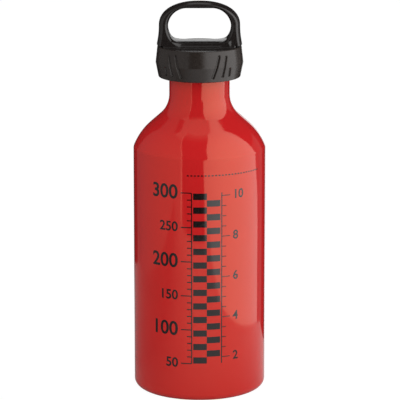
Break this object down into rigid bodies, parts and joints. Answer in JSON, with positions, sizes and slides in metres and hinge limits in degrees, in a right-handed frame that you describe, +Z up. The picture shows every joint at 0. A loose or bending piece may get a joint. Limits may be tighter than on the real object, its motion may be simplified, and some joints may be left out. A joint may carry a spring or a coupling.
{
  "type": "camping fuel bottle",
  "caption": "Slim metal fuel bottle with a shouldered neck, closed by a push-and-turn screw cap that carries a finger bail.",
  "frame": {"origin": "middle of the bottle's foot, on the ground", "axes": "+Z up along the bottle's axis, bail seen flat from -Y"},
  "size_m": [0.0635, 0.0634, 0.1895],
  "materials": {
    "red_paint": "glossy red paint on aluminium",
    "seal_rubber": "matte black nitrile rubber",
    "plug_plastic": "black moulded nylon",
    "spring_steel": "bright spring steel",
    "skirt_plastic": "satin black moulded plastic",
    "bail_plastic": "semi-gloss black moulded plastic"
  },
  "bodies": {
    "bottle": {"bottle": "red_paint"},
    "seal": {"o_ring": "seal_rubber"},
    "plug": {"threaded_plug": "plug_plastic"},
    "spring": {"wave_spring": "spring_steel"},
    "cap": {"grip_skirt": "skirt_plastic", "bail_top": "bail_plastic"}
  },
  "joints": [
    {"name": "cap_rise", "type": "slide", "parent": "bottle", "child": "seal", "axis": [0, 0, 1], "range_m": [0, 0.012]},
    {"name": "cap_turn", "type": "hinge", "parent": "seal", "child": "plug", "pos_m": [0, 0, 0.159], "axis": [0, 0, 1], "range_deg": [0, 1440]},
    {"name": "cap_slip", "type": "hinge", "parent": "plug", "child": "spring", "pos_m": [0, 0, 0.164], "axis": [0, 0, 1], "continuous": true},
    {"name": "cap_push", "type": "slide", "parent": "spring", "child": "cap", "axis": [0, 0, 1], "range_m": [-0.0015, 0], "stiffness_N_per_m": 2000, "springref_m": 0.001, "deforming": ["wave_spring"]}
  ],
  "couplings": [
    {"joint": "cap_turn", "follows": "cap_rise", "rad_per_m": 2094.4}
  ]
}
